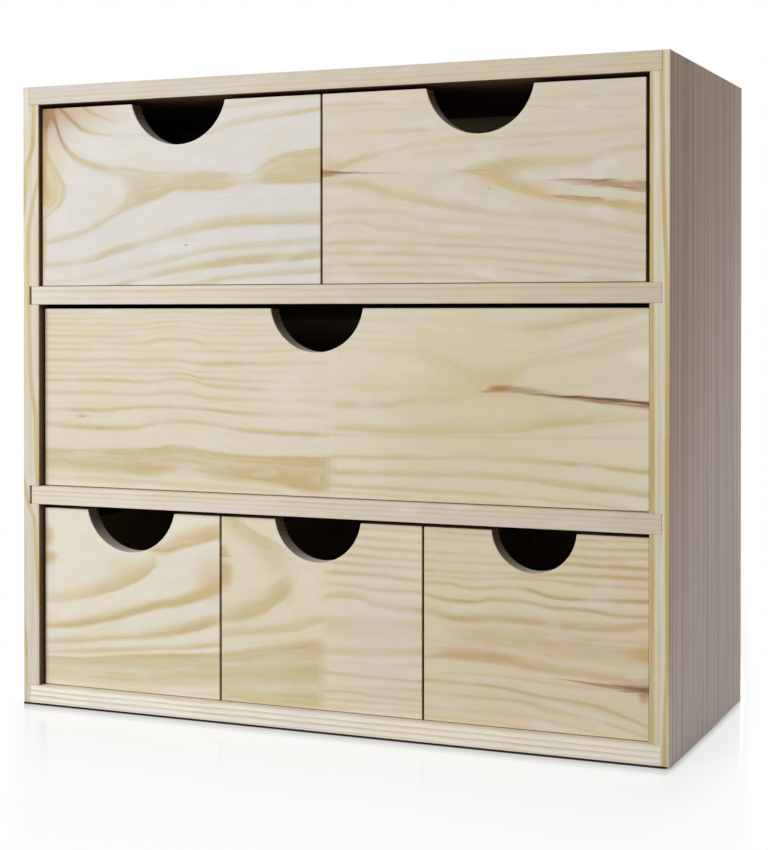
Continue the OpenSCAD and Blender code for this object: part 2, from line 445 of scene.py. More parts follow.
arcs = [
    ({0: 6, 6: 3, 14: 1.8, 20: 2.2, 25: 4.2, 36: 11.3, 40: 12.8, 45: 12.2, 49: 9.4, 52: 5.6, 60: -6,
     89: -20}, {0: 4, 25: 3.2, 40: 3.5, 50: 3, 89: 3}, 0.7, {0: 0.9, 28: 0.85, 35: 0.6, 42: 0.5, 50: 0.6,
     58: 0.3, 89: 0}),
    ({0: -12, 26: 0, 30: 4.4, 37: 8.4, 42: 8.6, 48: 6, 52: 1, 56: -6, 89: -20}, 2, 0.6, {0: 0, 24: 0.2,
     30: 0.7, 40: 0.45, 50: 0.5, 89: 0}),
]
spots = [
    ((2, 0), (26, 24), 0.95, 0.8, "tan"),
    ((0, 0), (13, 14), 0.9, 1, "corner_brown"),
    ((0, 0), (38, 30), 0.9, 0.95, "ring_brown"),
    ((0, 42), (11, 14), 0.8, 0.9, "gold"),
    ((0, 66), (3.4, 30), 0.85, 0.9, "gold"),
    # This brown down the left edge is partly the wood's own and partly painted shade from the gap beside
    # it.
    ((0, 28), (4, 25), 0.7, 0.95, "brown"),
    ((82, 69), (1.4, 0.5), 0.5, 0.55, "grey"),
    ((36, 31.5), (7, 1.6), 0.9, 0.4, "late"),
    ((4, 32), (16, 28), 0.95, 0.5, "deep_straw"),
    ((26, 2), (32, 12), 0.95, 0.45, "tan"),
    ((58, 39), (15, 8), 0.95, 0.45, "late"),
    ((90, 37.6), (26, 4.6), 0.9, 0.5, "late"),
    ((138, 32), (24, 8), 0.9, 0.45, "late"),
]
add_figure(
    "top_left", spring=paint(203, 199, 193), summer=paint(179, 163, 124),
    lines=lines, arcs=arcs, spots=spots)

# %% The figure of the top right front
lines = [
    ({0: 5.4, 50: 6.4, 154: 7.5}, 1.4, 0.5, {0: 0.2, 10: 0.4, 50: 0.2, 120: 0.25, 154: 0.15}),
    ({0: 8.6, 50: 9, 154: 13}, 0.8, 0.5, {0: 0.05, 25: 0.25, 50: 0.15, 110: 0.25, 154: 0.1}),
    ({0: 18.8, 50: 19, 154: 17}, 1.6, 0.6, {0: 0.3, 15: 0.15, 45: 0.3, 60: 0.1, 154: 0.1}),
    ({0: 35, 10: 34, 14: 32.4, 40: 27, 60: 24.3, 75: 23.4, 110: 23.6, 154: 22.4}, {0: 3, 30: 2.4, 154: 2},
     0.8, {0: 0.1, 14: 0.55, 28: 0.35, 60: 0.25, 110: 0.3, 154: 0.25}),
    ({0: 36.2, 30: 33.5, 50: 30, 75: 28.5, 154: 26}, 2, 0.7, {0: 0, 40: 0.05, 60: 0.22, 154: 0.1}),
    ({0: 37, 60: 38, 68: 37.8, 75: 36.2, 85: 35.4, 100: 35, 110: 35.6, 120: 35.6, 140: 31.6, 154: 29.6},
     {0: 3, 70: 1.6, 80: 3, 154: 3}, {0: 3, 70: 2, 80: 5, 95: 4, 110: 1.4, 154: 1}, {0: 0, 60: 0.1,
     75: 0.5, 88: 0.6, 122: 0.45, 140: 0.3, 154: 0.35}),
    ({0: 38, 30: 38, 70: 38.8, 78: 39.6, 90: 45, 100: 48.6, 120: 53, 140: 55.6, 154: 58.6}, {0: 1.5,
     70: 2, 80: 5, 90: 6, 105: 4, 120: 3, 154: 4}, {0: 1.5, 75: 0.7, 154: 0.7}, {0: 0, 62: 0.1, 76: 0.75,
     92: 0.8, 105: 0.75, 120: 0.5, 154: 0.6}),
    ({0: 43.4, 10: 43.4, 20: 44, 25: 45, 30: 47, 40: 48.8, 60: 53.6, 80: 57.2, 90: 58.6, 100: 59.2,
     120: 61.6, 154: 67.4}, {0: 5, 20: 4, 50: 3.6, 154: 4}, 0.8, {0: 0.3, 40: 0.5, 130: 0.3, 154: 0.4}),
    ({0: 56, 20: 55, 40: 56, 50: 59, 60: 61, 90: 63.5, 154: 71}, 2, 0.7, {0: 0.12, 45: 0.3, 70: 0.15,
     154: 0.1}),
    ({0: 63, 15: 60.2, 30: 63, 45: 64, 50: 66.2, 60: 67.4, 70: 68.2, 90: 68.8, 154: 75}, 2.2, 0.7,
     {0: 0.2, 20: 0.3, 45: 0.22, 60: 0.35, 90: 0.25, 154: 0.25}),
    ({0: 70.4, 10: 69.4, 20: 69.4, 40: 70.8, 80: 72.4, 120: 76, 154: 80.8}, 1.8, 0.6, {0: 0.25, 12: 0.5,
     40: 0.3, 75: 0.5, 110: 0.35, 154: 0.35}),
    ({0: 74.8, 20: 74.3, 50: 75.2, 70: 76.4, 110: 80, 154: 83.4}, 1.6, 0.6, {0: 0.3, 20: 0.45, 80: 0.35,
     110: 0.45, 154: 0.3}),
    ({0: 80.3, 10: 79.8, 50: 80.2, 75: 81, 100: 83.4, 110: 85, 154: 89}, 1.4, 0.6, {0: 0.25, 30: 0.45,
     60: 0.3, 100: 0.4, 154: 0.35}),
    ({0: 84, 30: 84, 60: 85, 90: 88.6, 154: 95}, 1.4, 0.6, {0: 0.2, 60: 0.35, 154: 0.2}),
]
spots = [
    ((14, 42), (18, 3.5), 0.9, 0.3, "late"),
    ((4, 33), (22, 4), 0.9, 0.25, "late"),
    ((82.3, 46.2), (0.8, 0.7), 0.4, 0.5, "grey"),
    ((88, 38.6), (15, 6), 0.9, 0.65, "late"),
    ((86, 42), (9, 7), 0.95, 0.4, "gold"),
    ((103, 47), (12, 6), 0.95, 0.4, "gold"),
]
streaks = [
    ((-3, 37), (16, 37.4), 2.8, 0.9, "brown", 1),
    ((-2, 36.4), (46, 38.2), 0.7, 0.4, "corner_brown", 0.75),
    ((64, 38), (82, 38.2), 0.35, 0.35, "brown", 0.35),
    ((98, 42.6), (166, 48), 0.3, 4.2, "rose", 0.5),
    ((106, 43.8), (172, 48.2), 0.3, 4, "rose_brown", 0.75),
    ((104, 43), (140, 44.6), 0.3, 1, "rose_brown", 0.9),
    ((104, 49.4), (136, 52.6), 0.3, 1.6, "brown", 0.9),
    ((108, 49.8), (146, 54.6), 0.3, 2, "tan", 0.9),
    ((118, 51.2), (166, 57.4), 0.6, 3.2, "gold", 0.75),
]
add_figure(
    "top_right", spring=paint(199, 189, 172), summer=paint(178, 160, 116),
    lines=lines, spots=spots, streaks=streaks)

# %% The figure of the middle front
lines = [
    ({0: 2.6, 50: 2.8, 78: 1.6, 100: 2.8, 160: 2}, 1.2, 0.6, {0: 0.25, 60: 0.15, 100: 0.3, 160: 0.2}),
    ({0: 5, 50: 5, 78: 3.8, 100: 5.2, 160: 5}, 1, 0.5, {0: 0.3, 60: 0.15, 160: 0.2}),
    ({0: 7.8, 50: 8, 78: 6.2, 100: 8, 160: 7}, 1.2, 0.5, {0: 0.35, 78: 0.25, 160: 0.3}),
    ({0: 10.8, 50: 11, 78: 9, 100: 10.6, 160: 9.8}, 1.2, 0.5, {0: 0.25, 55: 0.2, 160: 0.3}),
    ({0: 13.6, 50: 13.6, 78: 11.5, 100: 13, 160: 12.6}, 1.1, 0.5, {0: 0.35, 40: 0.4, 60: 0.15, 160: 0.3}),
    ({0: 17.4, 50: 17.4, 66: 15.6, 82: 15.2, 92: 17.4, 115: 17.4, 160: 15.4}, 1.6, 0.5, {0: 0.2, 50: 0.3,
     72: 0.5, 88: 0.4, 105: 0.2, 160: 0.25}),
    ({0: 20.4, 95: 20.6, 160: 18.4}, 1.2, 0.5, {0: 0.35, 80: 0.2, 110: 0.35, 160: 0.3}),
    ({0: 25.6, 50: 25.6, 72: 24.8, 90: 26.8, 160: 25.4}, 1.4, 0.6, {0: 0.45, 45: 0.4, 80: 0.45, 95: 0.6,
     130: 0.3, 160: 0.2}),
    ({0: 29, 50: 29, 72: 28, 90: 30.6, 160: 29}, 1, 0.5, {0: 0.15, 80: 0.3, 110: 0.1, 160: 0.15}),
    ({0: 32, 60: 32, 75: 31.2, 90: 34, 130: 34.8, 160: 33}, 1.2, 0.6, {0: 0.25, 60: 0.2, 85: 0.5,
     105: 0.3, 160: 0.1}),
    ({0: 35.8, 30: 35.4, 60: 36, 75: 34.2, 92: 37, 112: 38.2, 140: 38.4, 160: 38}, 1.4, 0.6, {0: 0.45,
     40: 0.5, 70: 0.35, 95: 0.55, 112: 0.6, 125: 0.2, 160: 0.15}),
    ({0: 42, 60: 42.2, 75: 41.2, 92: 43, 125: 44, 160: 44}, 2, 0.6, {0: 0.25, 25: 0.35, 60: 0.3, 95: 0.35,
     125: 0.2, 160: 0.15}),
    ({0: 50.6, 30: 50.2, 70: 48, 110: 50, 160: 50.6}, 1.6, 0.6, {0: 0.3, 28: 0.5, 80: 0.45, 105: 0.6,
     130: 0.25, 160: 0.2}),
    ({0: 58.6, 30: 59.2, 50: 58.6, 80: 55.2, 115: 58.8, 160: 59.8}, 2.4, 0.6, {0: 0.45, 40: 0.55, 60: 0.4,
     80: 0.5, 100: 0.35, 118: 0.6, 160: 0.35}),
    ({0: 70.6, 50: 69.4, 65: 68.4, 78: 66.8, 88: 68.4, 100: 69.4, 125: 70.4, 160: 70.2}, 0.8, {0: 4,
     60: 5, 90: 5, 130: 6, 160: 8}, {0: 0.5, 40: 0.55, 66: 0.7, 80: 0.55, 160: 0.85}),
    ({0: 77.4, 60: 79, 75: 77, 85: 77.6, 100: 79.4, 130: 81, 150: 83.6, 160: 83}, {0: 7, 60: 8, 90: 8,
     130: 9, 160: 12}, 2.2, {0: 0.45, 40: 0.55, 66: 0.7, 80: 0.5, 140: 0.85, 160: 0.85}),
    ({0: 84, 60: 85, 160: 88}, 2, 0.8, {0: 0.2, 60: 0.3, 160: 0.1}),
]
far_lines = [
    ({150: 7, 200: 5, 230: 7, 250: 9, 262: 8.6, 275: 6, 312: 1}, {150: 2, 240: 3, 262: 5, 312: 3},
     {150: 0.8, 262: 2, 312: 1}, {150: 0.3, 240: 0.1, 262: 0.5, 312: 0.3}),
    ({150: 10, 200: 11.4, 230: 13, 260: 14, 312: 6}, 1.4, 0.6, {150: 0.3, 240: 0.05, 312: 0.2}),
    ({150: 14, 200: 15.6, 225: 19, 255: 20, 275: 16.5, 312: 8}, 1.5, 0.7, {150: 0.25, 240: 0.1, 280: 0.3,
     312: 0.2}),
    ({150: 18.6, 190: 19, 200: 20, 212: 23, 225: 28.6, 236: 34, 250: 28.6, 258: 24, 290: 18, 312: 12},
     {150: 1.6, 215: 4, 236: 9, 255: 3, 312: 3}, {150: 0.7, 255: 3.5, 275: 2, 312: 2}, {150: 0.2,
     195: 0.2, 236: 0.4, 255: 0.35, 270: 0.2, 288: 0.4, 312: 0.3}),
    ({150: 36, 236: 37.4, 270: 35, 312: 30}, 2, 1, {150: 0.1, 200: 0.15, 236: 0.3, 270: 0.1, 312: 0.25}),
    ({150: 46.2, 180: 45.4, 200: 42.8, 220: 41.6, 238: 39, 260: 41, 312: 43}, {150: 3, 200: 4, 238: 2,
     312: 1}, 0.8, {150: 0.25, 185: 0.4, 215: 0.3, 238: 0.35, 265: 0.1, 312: 0.1}),
    ({150: 56, 200: 56.8, 230: 56.2, 245: 55, 270: 51.4, 312: 48}, {150: 2, 200: 4, 262: 5, 312: 3}, 0.8,
     {150: 0.3, 200: 0.5, 240: 0.4, 268: 0.65, 288: 0.4, 312: 0.25}),
    ({150: 59, 270: 57.6, 312: 56}, 1, 0.5, {150: 0.4, 200: 0.25, 250: 0.3, 312: 0.15}),
    ({150: 69.6, 200: 68.6, 225: 67.6, 270: 69, 312: 71.6}, 1.8, 0.6, {150: 0.5, 190: 0.4, 250: 0.5,
     285: 0.8, 312: 0.75}),
    ({150: 77, 200: 76.8, 225: 76, 280: 79.4, 312: 81.8}, 3, 0.6, {150: 0.5, 250: 0.5, 290: 0.65,
     312: 0.55}),
    ({150: 82.6, 200: 83.2, 250: 84.6, 312: 88.8}, 1.6, 0.6, {150: 0.3, 180: 0.5, 312: 0.35}),
    ({150: 86, 200: 86.6, 250: 88.6, 312: 93}, 1.4, 0.6, {150: 0.3, 312: 0.3}),
]
spots = [
    ((242, 33), (12, 6), 0.95, 0.3, "straw"),
    ((22, 53.2), (9, 2.2), 0.9, 0.35, "late"),
    ((22, 53.4), (3.4, 0.5), 0.6, 0.5, "brown"),
    ((241, 31), (16, 6), 0.95, 0.35, "late"),
    ((296, 27), (24, 9), 0.95, 0.5, "pink"),
    ((306, 21), (10, 6), 0.8, 0.3, "cream"),
    ((240, 45), (100, 80), 1, 0.5, "deep_straw"),
    ((222, 34), (34, 12), 0.95, 0.35, "deep_straw"),
    ((241.2, 36.2), (8, 2.2), 0.7, 0.9, "knot"),
    ((235.6, 37.4), (5, 1), 0.8, 0.6, "knot"),
]
streaks = [
    ((241, 36), (278, 38.2), 2.4, 0.8, "rose_brown", 0.7),
    ((239, 36.8), (322, 43.4), 0.5, 2.8, "rose_brown", 0.9),
    ((243, 37.3), (322, 42.2), 0.3, 1.5, "dark", 0.95),
]
add_figure(
    "middle", spring=paint(208, 199, 180), summer=paint(180, 160, 112),
    lines=lines, far_lines=far_lines, glued_at=157, blend=5, spots=spots, streaks=streaks)

# %% The figure of the bottom left front
lines = [
    ({0: 4, 25: 0, 64: 18.5, 80: 15.2, 90: 12.2, 99.5: 10}, {0: 2, 60: 3, 76: 7, 99.5: 8}, 0.9, {0: 0,
     55: 0.1, 66: 0.6, 92: 0.8, 99.5: 0.65}),
    ({0: 46.6, 10: 46, 20: 44.4, 40: 38.6, 55: 32.6, 60: 29, 63: 26, 99.5: 20}, {0: 5, 20: 6, 40: 9,
     55: 9, 62: 6, 99.5: 2}, 0.9, {0: 0.3, 50: 0.6, 61: 0.6, 66: 0.12, 99.5: 0}),
    ({0: 59.8, 10: 59.2, 20: 57.8, 30: 55.6, 60: 47.2, 80: 42.6, 99.5: 36.6}, {0: 3, 40: 4.5, 70: 4,
     80: 5, 99.5: 8}, 0.8, {0: 0.5, 12: 0.65, 30: 0.75, 80: 0.85, 99.5: 0.6}),
    ({0: 67.6, 20: 66, 40: 63, 70: 59.2, 80: 57.2, 99.5: 50.8}, {0: 3, 40: 3, 60: 4, 80: 6, 99.5: 5}, 0.7,
     {0: 0.3, 15: 0.55, 35: 0.5, 75: 0.6, 84: 0.85, 99.5: 0.6}),
    ({0: 72.6, 30: 70.2, 70: 65.8, 99.5: 62}, 2.4, 0.6, {0: 0.35, 50: 0.5, 75: 0.4, 92: 0.55, 99.5: 0.5}),
    ({0: 75, 20: 74.2, 40: 71.8, 99.5: 66}, 0.7, {0: 5, 60: 9, 99.5: 11}, {0: 0.5, 99.5: 0.62}),
    ({0: 82, 30: 82, 99.5: 77}, {0: 4, 60: 7, 99.5: 8}, 4, {0: 0.4, 99.5: 0.5}),
    ({0: 89, 99.5: 86.6}, 3, 1, {0: 0.2, 50: 0.3, 99.5: 0.3}),
]
spots = [
    ((0.5, 14), (7, 8), 0.7, 0.7, "gold"),
    ((1, 25), (8, 6), 0.75, 0.75, "gold"),
    ((96, 30), (17, 16), 0.95, 0.5, "gold"),
    ((45, 27), (22, 7), 0.95, 0.25, "late"),
]
add_figure(
    "bottom_left", spring=paint(217, 210, 194), summer=paint(190, 168, 122),
    lines=lines, spots=spots)

# %% The figure of the bottom middle front
lines = [
    ({0: -4, 10: 2.6, 20: 7.8, 30: 11.8, 38: 16.4, 43: 20.6, 60: 24}, {0: 1, 60: 1}, {0: 6, 12: 6, 22: 8,
     30: 12, 38: 8, 43: 3, 60: 1}, {0: 0.3, 8: 0.5, 20: 0.5, 30: 0.4, 42: 0.06, 60: 0}),
    ({0: 50, 10: 48.4, 22: 45, 30: 39, 36: 33.5, 40: 27.6, 43: 22.6, 60: 20}, {0: 7, 10: 8, 22: 10,
     30: 12, 36: 10, 43: 2, 60: 1}, 1, {0: 0.45, 22: 0.65, 31: 0.65, 41: 0.12, 60: 0}),
    ({0: 57, 40: 51, 50: 47.4, 60: 45}, {0: 3.6, 40: 4, 60: 3}, 0.8, {0: 0.4, 50: 0.45, 60: 0.4}),
    ({0: 66.6, 10: 65.6, 30: 61.6, 40: 60.6, 50: 58.6, 60: 58}, {0: 2, 30: 3, 45: 4, 60: 4}, {0: 4, 30: 5,
     60: 8}, {0: 0.5, 30: 0.55, 46: 0.7, 60: 0.65}),
    ({0: 76, 60: 70}, 7, 6, {0: 0.45, 30: 0.5, 48: 0.62, 60: 0.6}),
    ({0: 87.2, 30: 87, 60: 85.8}, 9, 0.9, {0: 0.45, 30: 0.5, 45: 0.6, 60: 0.55}),
]
far_lines = [
    ({50: 2.2, 80: 2.4, 104: 3.2}, 1.6, 0.5, {50: 0.2, 75: 0.45, 104: 0.4}),
    ({50: 6.6, 104: 7.4}, 1.6, 0.5, {50: 0.2, 75: 0.5, 104: 0.45}),
    ({50: 11, 80: 11.2, 104: 12}, 1.6, 0.5, {50: 0.2, 75: 0.55, 90: 0.6, 104: 0.4}),
    ({50: 15, 104: 16}, 1.6, 0.5, {50: 0.1, 75: 0.6, 90: 0.4, 104: 0.4}),
    ({50: 18.6, 104: 19.6}, 1.6, 0.5, {50: 0.15, 66: 0.6, 80: 0.65, 104: 0.4}),
    ({50: 24, 66: 23.6, 104: 25.4}, 1.8, 0.6, {50: 0.2, 64: 0.65, 80: 0.7, 104: 0.5}),
    ({50: 30, 66: 29, 80: 30.2, 104: 30.6}, 1.8, 0.6, {50: 0.2, 80: 0.65, 95: 0.7, 104: 0.65}),
    ({50: 37.6, 66: 34.4, 80: 37.4, 90: 38.8, 104: 39}, 2.8, 0.7, {50: 0.4, 60: 0.6, 66: 0.8, 80: 0.6,
     104: 0.65}),
    ({50: 48, 80: 47, 104: 45.6}, 5, 5, {50: 0.25, 66: 0.35, 104: 0.35}),
    ({50: 61.4, 85: 60, 104: 58.4}, 4, 0.8, {50: 0.3, 104: 0.65}),
    ({50: 65.6, 80: 65.6, 104: 64}, 1.4, 0.5, {50: 0.1, 80: 0.2, 104: 0.4}),
    ({50: 70.8, 104: 71.2}, 1.2, 0.5, {50: 0.2, 60: 0.6, 80: 0.65, 104: 0.55}),
    ({50: 76.6, 80: 76.2, 104: 75}, 1.2, 0.5, {50: 0.1, 80: 0.35, 104: 0.4}),
    ({50: 79.6, 70: 79, 80: 79.8, 104: 79.6}, 1.2, 0.5, {50: 0.3, 66: 0.6, 85: 0.6, 104: 0.4}),
    ({50: 83, 104: 82.6}, 1.2, 0.5, {50: 0.3, 80: 0.4, 104: 0.3}),
    ({50: 87, 104: 85}, 1.2, 0.5, {50: 0.3, 104: 0.3}),
]
spots = [
    ((0, 17), (6, 4.6), 0.7, 0.7, "gold"),
    ((0.5, 28), (8, 10), 0.7, 0.8, "gold"),
    ((2, 18.9), (5, 0.5), 0.6, 0.5, "brown"),
    ((33, 34), (9, 8), 0.95, 0.5, "late"),
    ((84, 50), (34, 60), 0.9, 0.5, "pink"),
]
add_figure(
    "bottom_middle", spring=paint(212, 202, 180), summer=paint(186, 166, 120),
    lines=lines, far_lines=far_lines, glued_at=54, blend=4, spots=spots)

# %% The figure of the bottom right front
lines = [
    ({0: 2, 50: 2.6, 105: 2}, 1.4, 0.5, {0: 0.15, 20: 0.35, 80: 0.4, 105: 0.3}),
    ({0: 5.4, 80: 6.2, 105: 5.8}, 1.4, 0.5, {0: 0.15, 60: 0.2, 80: 0.45, 105: 0.5}),
    ({0: 12, 105: 9.4}, 1.4, 0.5, {0: 0.4, 30: 0.2, 75: 0.5, 105: 0.4}),
    ({0: 15.6, 50: 15, 75: 13.6, 105: 13.8}, 1.5, 0.5, {0: 0.3, 30: 0.2, 72: 0.65, 95: 0.8, 105: 0.6}),
    ({0: 20, 50: 19.4, 75: 18, 105: 18.2}, 1.5, 0.5, {0: 0.4, 30: 0.25, 68: 0.65, 95: 0.75, 105: 0.5}),
    ({0: 22.4, 20: 22.6, 50: 21, 80: 22.2, 105: 22.4}, 1.4, 0.5, {0: 0.2, 50: 0.4, 80: 0.45, 105: 0.4}),
    ({0: 25.6, 10: 25.4, 25: 26.8, 40: 25.6, 52: 26.4, 67: 28.4, 105: 28}, 1.3, 0.5, {0: 0.45, 20: 0.5,
     45: 0.45, 54: 0.9, 70: 0.9, 80: 0.6, 92: 0.95, 105: 0.9}),
    ({0: 31, 20: 33, 28: 32.4, 35: 31.2, 45: 31.4, 55: 32.6, 65: 33.2, 75: 33.2, 95: 35.2, 105: 34.6},
     1.6, 0.6, {0: 0.35, 20: 0.6, 40: 0.5, 66: 0.7, 105: 0.5}),
    ({0: 38.4, 10: 40.6, 20: 41.4, 40: 40.4, 75: 41.6, 105: 38.8}, 3.6, 0.8, {0: 0.35, 15: 0.55, 38: 0.6,
     105: 0.5}),
    ({0: 50, 40: 49, 75: 50, 105: 50}, 7, 5, {0: 0.1, 60: 0.4, 105: 0.4}),
    ({0: 59.6, 20: 58.6, 30: 58.6, 60: 61.4, 75: 62, 85: 63, 97: 63.4, 105: 62.6}, {0: 4, 20: 5.5, 40: 6,
     90: 4, 105: 4}, 0.8, {0: 0.35, 14: 0.65, 35: 0.7, 45: 0.55, 105: 0.35}),
    ({0: 67, 40: 65.6, 60: 66.8, 80: 67.4, 105: 66.6}, 1, 0.5, {0: 0.15, 40: 0.2, 60: 0.3, 105: 0.3}),
    ({0: 70, 20: 70, 40: 71, 50: 72.5, 70: 74, 80: 75.2, 87: 76.6, 105: 82}, 1.4, 0.6, {0: 0.5, 20: 0.45,
     90: 0.55, 105: 0.45}),
    ({0: 76, 45: 76, 60: 78.8, 80: 81.4, 105: 87}, 1.6, 0.6, {0: 0.15, 25: 0.35, 50: 0.4, 80: 0.25,
     105: 0.3}),
    ({0: 82, 50: 83, 105: 92}, 1.4, 0.6, {0: 0.2, 105: 0.2}),
    ({0: 86.6, 50: 87.6, 105: 98}, 1.4, 0.6, {0: 0.25, 105: 0.2}),
]
spots = [
    ((104, 51), (11, 5), 0.8, 0.85, "gold"),
    ((103, 69), (4, 5), 0.9, 0.7, "rose_brown"),
    ((104, 66.2), (6, 3.4), 0.8, 0.6, "rose_brown"),
]
streaks = [
    ((58, 64.4), (90, 65.6), 0.3, 0.9, "orange", 0.8),
    ((70, 65), (116, 66.8), 0.4, 3.6, "rose_brown", 0.85),
    ((84, 65.4), (116, 67), 0.3, 2, "dark", 0.6),
]
add_figure(
    "bottom_right", spring=paint(207, 193, 168), summer=paint(180, 154, 110),
    lines=lines, spots=spots, streaks=streaks)

# %% [markdown]
# ## The wood of a drawer front
#
# The lines give the dark wood and a height counted along them, and fine streaks laid in that height
# follow the figure as real fibres do. Between the drawn lines faint rings fill in by themselves.
# Two of the real fronts are glued up end to end from two boards, so their figure stops at a joint.
# The lines lean back as they go into the board, and the edges and the notch show them too.

# %% Drawer-front pine
fine_fibre, broad_band, slow_wave = (14, 0.45, 0.45), (45, 2.2, 6), (60, 25, 40)
fuzz_size, fuzz_height, fuzz_strength = (9, 0.3, 0.3), 0.05 * mm, 0.35
dullness, dark_shine, uneven_shine = 0.66, 0.12, 0.1
wood_ior = 1.45


def fibres(finish, along, flow, deep):
    """Fine, broad and slow variation round 0 that follows the grain."""
    place = (along, flow, deep)
    fine = finish.noise(place, fine_fibre, rich) - 0.5
    broad = finish.noise(place, broad_band, rich) - 0.5
    slow = finish.noise(place, slow_wave) - 0.5
    return fine, broad, slow


def wood_surface(finish, colour, dark, place):
    """The shader of planed, unfinished pine: dull, with fibres that stand up a little."""
    relief = finish.noise(place, fuzz_size, rich)
    sockets = {"Strength": fuzz_strength, "Distance": fuzz_height, "Height": relief}
    bump = finish.node("ShaderNodeBump", None, sockets, output="Normal")
    roughness = dullness - dark * dark_shine + (relief - 0.5) * uneven_shine
    sockets = {"Base Color": colour, "Roughness": roughness, "Normal": bump, "IOR": wood_ior}
    return finish.surface(finish.node("ShaderNodeBsdfPrincipled", None, sockets))


# %% Edges and notch of a front
planed_skin = 0.6
saw_mark, saw_depth = (0.9, 0.9, 20), 1.6
# A painted light low on the notch wall, and a brown near the top that is partly saw burn and partly
# painted shade.
painted_wall_light, wall_light_share = paint(248, 240, 228), 0.8
pale_start, pale_end, back_margin = (5.0, 13.0), (32.0, 26.0), 0.4
saw_burn_and_shade, brown_share, brown_drop, brown_fade = paint(138, 108, 74), 0.85, 0.75, (2.0, 12.0)
rough_end, end_share, end_start, end_full = paint(112, 82, 54), 0.9, 0.7, 0.3


def sawn_walls(finish, colour, box, place):
    """Colours what the saw cut on a front: a brown near the top that is saw burn and painted shade, a
    painted light low in the notch, and dark end grain at the ends.
    """
    along, across, deep = place
    low, high = box
    half, thickness = (high.x - low.x) / mm / 2, (high.y - low.y) / mm
    sawn = deep.step(planed_skin, planed_skin * 2)
    wall = sawn * deep.step(thickness, thickness - back_margin)
    wall_light_mask = wall * across.step(*pale_start) * across.step(*pale_end)
    colour = finish.mixed(colour, painted_wall_light, wall_light_mask * wall_light_share)
    marks = (finish.noise(place, saw_mark, plain) - 0.5) * saw_depth + 1
    brown = brown_share - across.step(*brown_fade) * brown_drop
    colour = finish.mixed(colour, saw_burn_and_shade, sawn * brown * marks)
    ends = abs(along - half).step(half - end_start, half - end_full)
    return finish.mixed(colour, rough_end, sawn * ends * end_share)


# %% The figure of a front
lean = 0.35
wander, wander_size = 2.0, (30, 8, 20)
next_board = 300.0
faint_rise, faint_share = 0.03, 0.45
dash_size, dash_start, dash_full, dash_share = (9, 0.8, 1), 0.64, 0.8, 0.3
band_share, line_share, fibre_share = 0.9, 1.35, 0.24
cutter_size = (1.2, 16, 16)
fine_shade, slow_shade, cutter_shade = 0.16, 0.07, 0.05


def figured_pine(
        row, spring, summer, lines, arcs=(), far_lines=(), glued_at=0, blend=1, spots=(), streaks=()):
    """The wood of one drawer front. Past glued_at mm a second board has far_lines for its figure."""
    finish = Finish(bpy.data.materials.new(row + "_front_pine"))
    low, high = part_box(row + "_drawer_front")
    place = grain_space(finish, (low.x, low.y, high.z), "XZY", (1, 1, -1))
    along, across, deep = place
    level = across + deep * lean + (finish.noise(place, wander_size) - 0.5) * wander
    dark, flow = growth(finish, along, level, lines, arcs)
    if far_lines:
        far_dark, far_flow = growth(finish, along, level, far_lines, ())
        side = along.step(glued_at - blend, glued_at + blend)
        dark = dark + (far_dark - dark) * side
        flow = flow + (far_flow - flow + next_board) * side
    fine, broad, slow = fibres(finish, along, flow, deep)
    faint = (broad + faint_rise).at_least(0.0) * faint_share
    dashes = finish.noise((along, flow, deep), dash_size, plain)
    dashes = dashes.step(dash_start, dash_full) * dash_share
    dark = dark * (broad * band_share + line_share) + faint + dashes + fine * fibre_share
    colour = mottled(finish, finish.mixed(spring, summer, dark), along, flow, deep)
    for centre, radii, softness, strength, stain in spots:
        mask = spot(finish, along, level, centre, radii, softness, broad * spot_rag)
        if stain in ring_stains:
            mask = mask * (dark * ring_share + ring_rest)
        colour = finish.mixed(colour, stains.get(stain, summer), mask * strength)
    for start, end, width_start, width_end, stain, strength in streaks:
        mask = streak(finish, along, level, start, end, width_start, width_end, fine * streak_rag)
        colour = finish.mixed(colour, stains[stain], mask * (1 - fine * streak_rag) * strength)
    cutter_marks = finish.noise(place, cutter_size, plain) - 0.5
    shade = fine * fine_shade + slow * slow_shade + cutter_marks * cutter_shade + 1
    colour = sawn_walls(finish, finish.scaled(colour, shade), (low, high), place)
    return wood_surface(finish, colour, dark, place)


# %% Mix the fronts
front_woods = {row: figured_pine(row, **figure) for row, figure in figures.items()}
for name, wood in front_woods.items():
    print(name, "front wood:", len(wood.node_tree.nodes), "nodes")

# %% [markdown]
# ## The wood of the other boards
#
# The case and the boxes are sawn from straight, even stems, so their rings are plain circles round
# a pith that lies outside the board. Where the pith lies decides what shows: beside the board the
# rings run through it and give fine straight stripes, and behind it they give broad bands.
# The same rings cross the end grain as arcs, because all of this is worked out in the solid.

# %% Which faces get painted shade
# Inner faces and undersides behind the front edge get a brown painted shade, for the shade inside the
# case.
shade_skin = 0.4
edge_left_unshaded = 1.2
past_the_face = 1
inner_shade_brown, inner_shade_share = paint(96, 57, 28), 0.9
case_front = cad_box[0][1] / mm
outer_face = cad_box[1][0] / mm


def unshaded_part(node, axis):
    """The part of a board's thickness in mm left without painted shade. Faces that look sideways or down
    inside end it.
    """
    low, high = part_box(node)
    low, high = getattr(low, axis) / mm, getattr(high, axis) / mm
    number = "xyz".index(axis)
    outer_low, outer_high = cad_box[0][number] / mm, cad_box[1][number] / mm
    faces_in_below = low - outer_low > shade_skin
    faces_in_above = axis != "z" and outer_high != high
    low = low if faces_in_below else low - past_the_face
    high = high if faces_in_above else high + past_the_face
    return low, high


